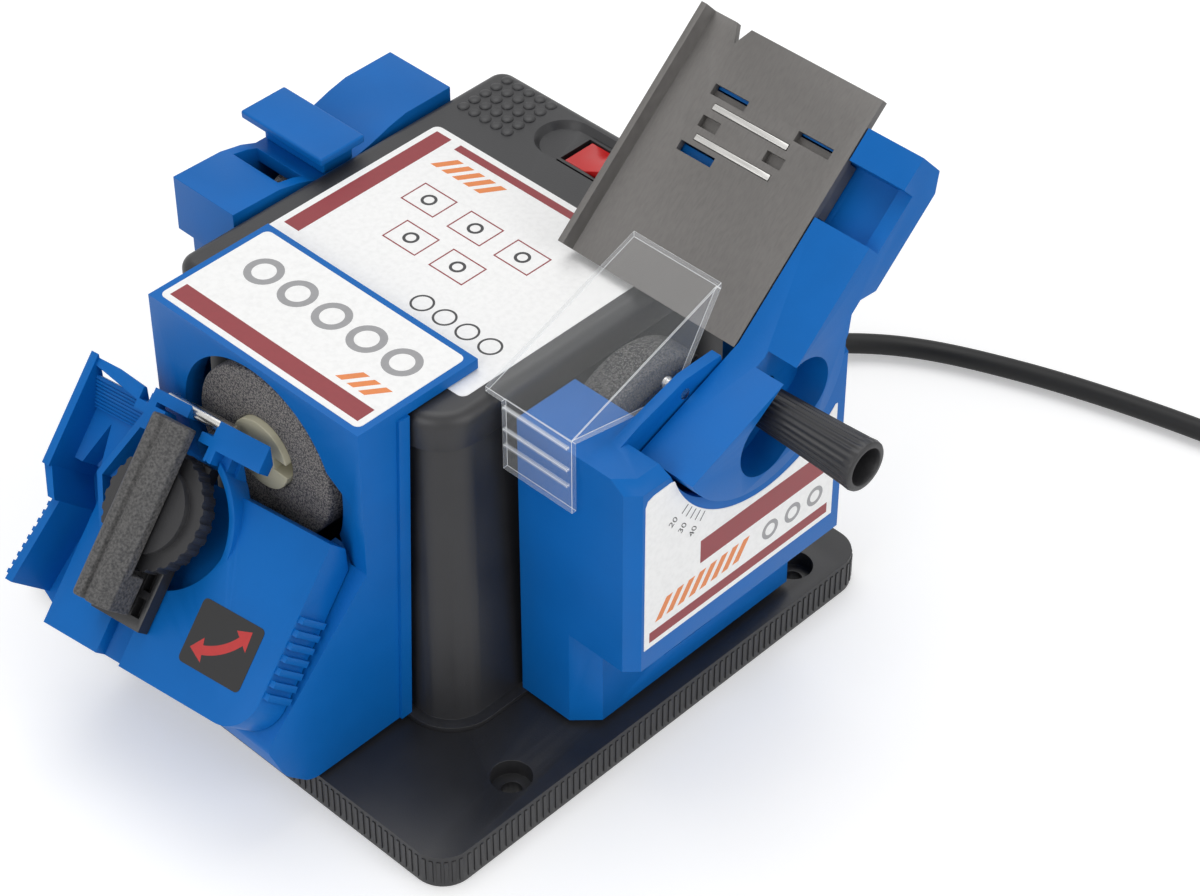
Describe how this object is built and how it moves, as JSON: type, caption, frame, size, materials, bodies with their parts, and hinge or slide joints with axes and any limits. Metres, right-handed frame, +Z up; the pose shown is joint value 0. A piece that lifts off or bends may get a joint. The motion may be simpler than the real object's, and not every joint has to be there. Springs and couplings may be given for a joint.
{
  "type": "drill bit sharpener",
  "caption": "Bench sharpener with a motor and abrasive wheels for drills, chisels and knives, a swinging drill cradle, a tilting chisel arm and a blade guide.",
  "frame": {"origin": "on the base plate underside, below the middle of the motor housing, 3 mm in front of the middle of the base", "axes": "+Z up, -Y towards the drill cradle, +X towards the chisel arm, -X towards the knife unit, +Y where the mains lead leaves"},
  "size_m": [0.3071, 0.4131, 0.1628],
  "materials": {
    "blue_abs": "fine satin moulded",
    "black_abs": "fine matt texture",
    "black_pvc": "matt flexible",
    "rubber": "matt",
    "steel": "turned and plated",
    "zinc_casting": "as cast",
    "bronze": "sintered",
    "carbon": "dull",
    "magnet": "dull",
    "inner_plastic": "moulded",
    "abrasive": "coarse bonded grit",
    "cream_hub": "moulded",
    "clear_guard": "clear moulded",
    "red_rocker": "polished",
    "grey_plate": "grey coating",
    "green_board": "laminate"
  },
  "bodies": {
    "machine": {"base_plate": "black_abs", "rubber_pads": "rubber", "base_screws": "steel", "motor_housing": "black_abs", "top_cover": "black_abs", "motor_can": "steel", "motor_saddle": "inner_plastic", "motor_magnets": "magnet", "motor_end_bell": "zinc_casting", "motor_end_plate": "zinc_casting", "shaft_bushes": "bronze", "carbon_brushes": "carbon", "rectifier_board": "green_board", "spindle_block": "zinc_casting", "spindle_bushes": "bronze", "drill_unit_shell": "blue_abs", "cradle_pivot": "steel", "chisel_unit_shell": "blue_abs", "guard_pin": "steel", "knife_unit_shell": "blue_abs", "knife_guide": "blue_abs", "switch_body": "black_abs", "cord_relief": "black_pvc", "power_cord": "black_pvc", "cord_coil": "black_pvc", "cord_tie": "black_pvc", "mains_plug": "black_pvc", "plug_pins": "steel"},
    "rotor": {"motor_shaft": "steel", "armature": "steel", "commutator": "bronze", "cooling_fan": "inner_plastic", "chisel_wheel": "abrasive", "chisel_wheel_hub": "cream_hub", "knife_wheel": "abrasive", "knife_wheel_hub": "cream_hub", "wheel_nuts": "steel", "drive_bevel": "steel"},
    "drill_drive": {"drill_spindle": "steel", "driven_bevel": "steel", "drill_wheel": "abrasive", "drill_wheel_hub": "cream_hub"},
    "cradle": {"swing_cradle": "blue_abs", "stop_rod": "steel"},
    "drill_clamp": {"holder_base": "black_abs"},
    "thumbwheel": {"holder_thumbwheel": "black_abs"},
    "clamp": {"clamp_bar": "black_abs"},
    "arm": {"chisel_arm": "blue_abs"},
    "table": {"chisel_plate": "grey_plate", "wear_bars": "steel"},
    "arm_clamp": {"arm_knob": "black_abs"},
    "guard": {"wheel_guard": "clear_guard"},
    "rocker": {"switch_rocker": "red_rocker"}
  },
  "joints": [
    {"name": "rotor_spin", "type": "hinge", "parent": "machine", "child": "rotor", "pos_m": [0, 0.014, 0.084], "axis": [1, 0, 0], "continuous": true},
    {"name": "drill_wheel_spin", "type": "hinge", "parent": "machine", "child": "drill_drive", "pos_m": [0, -0.03, 0.084], "axis": [0, 1, 0], "continuous": true},
    {"name": "cradle_swing", "type": "hinge", "parent": "machine", "child": "cradle", "pos_m": [0, -0.07556, 0.06644], "axis": [0, -0.7071, 0.7071], "range_deg": [-6, 5]},
    {"name": "holder_slide", "type": "slide", "parent": "cradle", "child": "drill_clamp", "axis": [-0.1045, 0.7032, 0.7032], "range_m": [-0.006, 0.0015]},
    {"name": "thumbwheel_turn", "type": "hinge", "parent": "drill_clamp", "child": "thumbwheel", "pos_m": [-0.01314, -0.07511, 0.06689], "axis": [0, -0.7071, 0.7071], "range_deg": [0, 720]},
    {"name": "clamp_lift", "type": "slide", "parent": "drill_clamp", "child": "clamp", "axis": [0, -0.7071, 0.7071], "range_m": [0, 0.0025]},
    {"name": "arm_tilt", "type": "hinge", "parent": "machine", "child": "arm", "pos_m": [0.088, 0.021, 0.113], "axis": [1, 0, 0], "range_deg": [-10, 10]},
    {"name": "table_traverse", "type": "slide", "parent": "arm", "child": "table", "axis": [1, 0, 0], "range_m": [-0.012, 0]},
    {"name": "arm_knob_turn", "type": "hinge", "parent": "machine", "child": "arm_clamp", "pos_m": [0.1, 0.028, 0.1015], "axis": [1, 0, 0], "range_deg": [0, 360]},
    {"name": "guard_lift", "type": "hinge", "parent": "machine", "child": "guard", "pos_m": [0.074, 0.012, 0.108], "axis": [-1, 0, 0], "range_deg": [0, 12]},
    {"name": "rocker_tip", "type": "hinge", "parent": "machine", "child": "rocker", "pos_m": [0, 0.0634, 0.105], "axis": [0, 1, 0], "range_deg": [0, 14]}
  ],
  "couplings": [
    {"joint": "drill_wheel_spin", "follows": "rotor_spin", "ratio": 1},
    {"joint": "clamp_lift", "follows": "thumbwheel_turn", "m_per_rad": 0.00019894}
  ]
}
